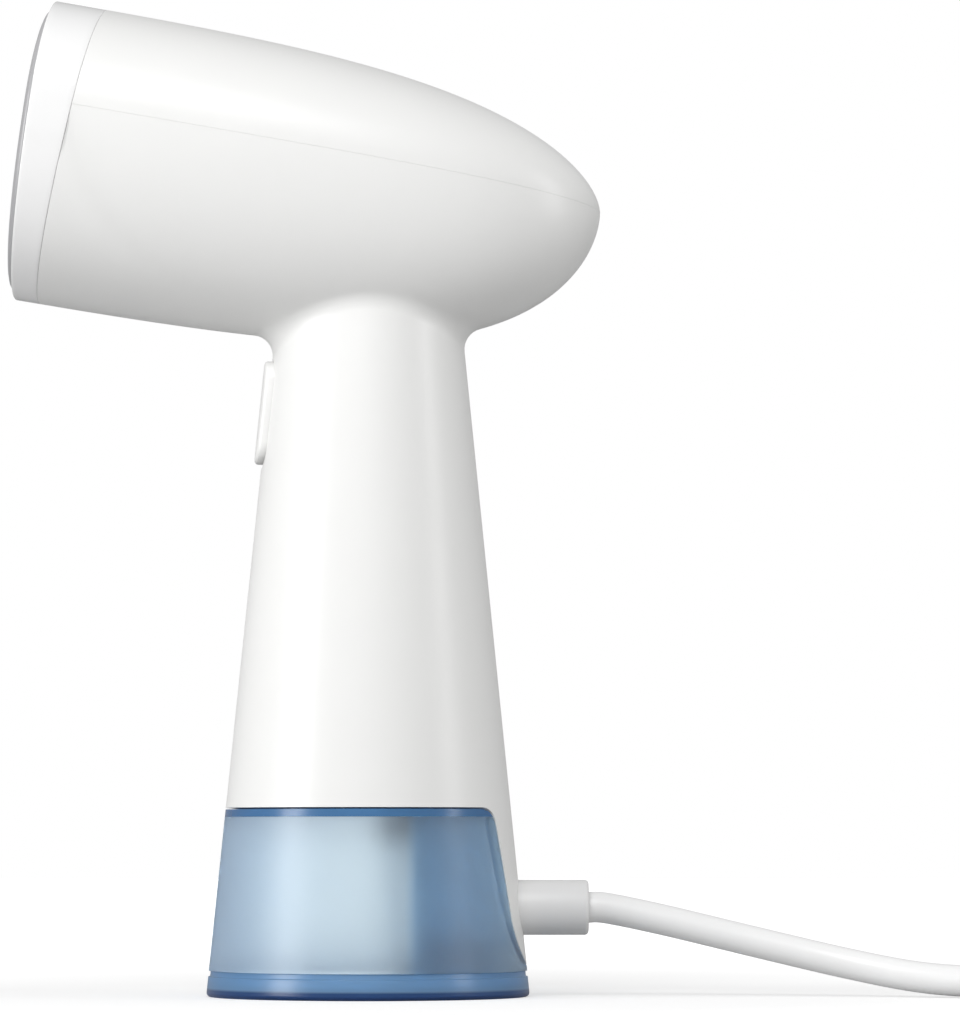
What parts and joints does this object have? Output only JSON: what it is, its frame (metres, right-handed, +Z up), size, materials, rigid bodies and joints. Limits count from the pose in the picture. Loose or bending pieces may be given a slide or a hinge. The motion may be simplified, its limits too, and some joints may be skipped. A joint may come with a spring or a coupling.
{
  "type": "garment steamer",
  "caption": "Hand-held garment steamer with a tilted steam head, tapered handle, front trigger, slide-off translucent water tank and free mains cord.",
  "frame": {"origin": "centre of the water tank's flat underside, on the handle's axis", "axes": "+Z up along the handle, +X to the rear where the cord leaves, +Y to the side; the steam plate faces -X"},
  "size_m": [0.4104, 0.1118, 0.2466],
  "materials": {
    "white_shell": "satin",
    "white_gloss": "gloss",
    "grey_plate": "gloss",
    "cast_aluminium": "as cast",
    "steel": "satin",
    "brass": "satin",
    "silicone": "matte",
    "dark_rubber": "matte",
    "nylon": "matte",
    "black_plastic": "matte",
    "board": "satin",
    "brown_sleeve": "satin",
    "blue_sleeve": "satin",
    "red_plastic": "satin",
    "blue_tank": "lightly frosted",
    "clear_plastic": "clear",
    "cord_white": "satin"
  },
  "bodies": {
    "handle_unit": {"main_housing": "white_shell", "head_cover": "white_shell", "front_bezel": "white_gloss", "steam_plate": "grey_plate", "plate_seal": "silicone", "steam_generator": "cast_aluminium", "heating_element": "steel", "thermostat": "cast_aluminium", "thermal_fuse": "nylon", "generator_screws": "steel", "water_inlet": "brass", "delivery_hose": "silicone", "pump_body": "nylon", "pump_coil": "black_plastic", "pump_mounts": "dark_rubber", "suction_hose": "silicone", "dock_plate": "nylon", "dock_spigot": "nylon", "dock_seal": "silicone", "dock_screws": "steel", "inner_frame": "nylon", "frame_screws": "steel", "trigger_bracket": "nylon", "pivot_pin": "steel", "trigger_spring": "steel", "microswitch": "black_plastic", "control_board": "board", "terminal_block": "nylon", "spine_cover": "white_shell", "spine_screws": "steel", "cord_clamp": "nylon", "clamp_screws": "steel", "cord_guard": "white_shell", "inner_lead": "cord_white", "line_lead": "brown_sleeve", "neutral_lead": "blue_sleeve", "mains_cord": "cord_white", "cord_coil": "cord_white", "cable_tie": "black_plastic", "cord_tail": "cord_white", "mains_plug": "cord_white", "plug_pins": "steel"},
    "trigger": {"trigger_button": "white_shell"},
    "plunger": {"switch_plunger": "red_plastic"},
    "tank": {"tank_shell": "blue_tank", "tank_deck": "blue_tank", "tank_base": "blue_tank", "outlet_socket": "blue_tank", "outlet_valve": "silicone", "suction_tube": "clear_plastic", "strainer": "steel", "vent_valve": "silicone", "cap_pin": "steel"},
    "cap": {"filler_cap": "blue_tank", "cap_seal": "silicone"}
  },
  "joints": [
    {"name": "tank_slide", "type": "slide", "parent": "handle_unit", "child": "tank", "axis": [0, 0, -1], "range_m": [0, 0.06]},
    {"name": "cap_hinge", "type": "hinge", "parent": "tank", "child": "cap", "pos_m": [-0.0038, 0, 0.0481], "axis": [0, 1, 0], "range_deg": [0, 90]},
    {"name": "trigger_hinge", "type": "hinge", "parent": "handle_unit", "child": "trigger", "pos_m": [-0.0175, 0, 0.15505], "axis": [0, -1, 0], "range_deg": [0, 4], "stiffness_Nm_per_rad": 0.6, "springref_deg": -1.72},
    {"name": "switch_travel", "type": "slide", "parent": "handle_unit", "child": "plunger", "axis": [1, 0, 0], "range_m": [0, 0.0013]}
  ],
  "couplings": [
    {"joint": "switch_travel", "follows": "trigger_hinge", "m_per_rad": 0.017}
  ]
}
